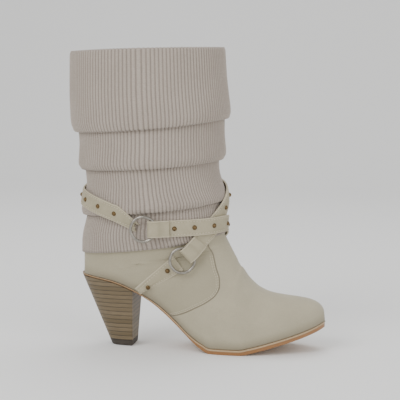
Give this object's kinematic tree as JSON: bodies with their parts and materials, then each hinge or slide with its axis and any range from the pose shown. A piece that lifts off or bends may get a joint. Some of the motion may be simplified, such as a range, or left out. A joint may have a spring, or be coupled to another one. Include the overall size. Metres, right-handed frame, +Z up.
{
  "type": "heeled slouch boot",
  "caption": "Right foot heeled boot with a leather ankle upper, ribbed knit shaft in soft folds, stacked block heel and crossing studded straps joined by round rings.",
  "frame": {"origin": "middle of the heel's bottom face, on the floor", "axes": "+X from the heel to the toe, +Y towards the inner side of the foot, +Z up along the shaft"},
  "size_m": [0.2647, 0.0977, 0.3074],
  "materials": {
    "stacked_heel": "stacked layers, satin",
    "insole_board": "matt lining",
    "sole_leather": "burnished tan edge",
    "ring_metal": "antique silver",
    "rib_knit": "ribbed knit",
    "strap_leather": "matt with stitched edges",
    "stud_metal": "antique brass",
    "heel_rubber": "matt",
    "upper_leather": "nubuck, matt"
  },
  "bodies": {
    "root": {"heel": "stacked_heel", "insole": "insole_board", "outsole": "sole_leather", "ring_ankle": "ring_metal", "ring_instep": "ring_metal", "shaft_knit": "rib_knit", "strap_heel": "strap_leather", "strap_instep": "strap_leather", "strap_wrap": "strap_leather", "stud_01": "stud_metal", "stud_02": "stud_metal", "stud_03": "stud_metal", "stud_04": "stud_metal", "stud_05": "stud_metal", "stud_06": "stud_metal", "stud_07": "stud_metal", "stud_08": "stud_metal", "stud_09": "stud_metal", "stud_10": "stud_metal", "stud_11": "stud_metal", "stud_12": "stud_metal", "stud_13": "stud_metal", "stud_14": "stud_metal", "stud_15": "stud_metal", "stud_16": "stud_metal", "stud_17": "stud_metal", "stud_18": "stud_metal", "stud_19": "stud_metal", "stud_20": "stud_metal", "stud_21": "stud_metal", "stud_22": "stud_metal", "stud_23": "stud_metal", "stud_24": "stud_metal", "stud_25": "stud_metal", "stud_26": "stud_metal", "stud_27": "stud_metal", "top_lift": "heel_rubber", "upper": "upper_leather"}
  },
  "joints": []
}
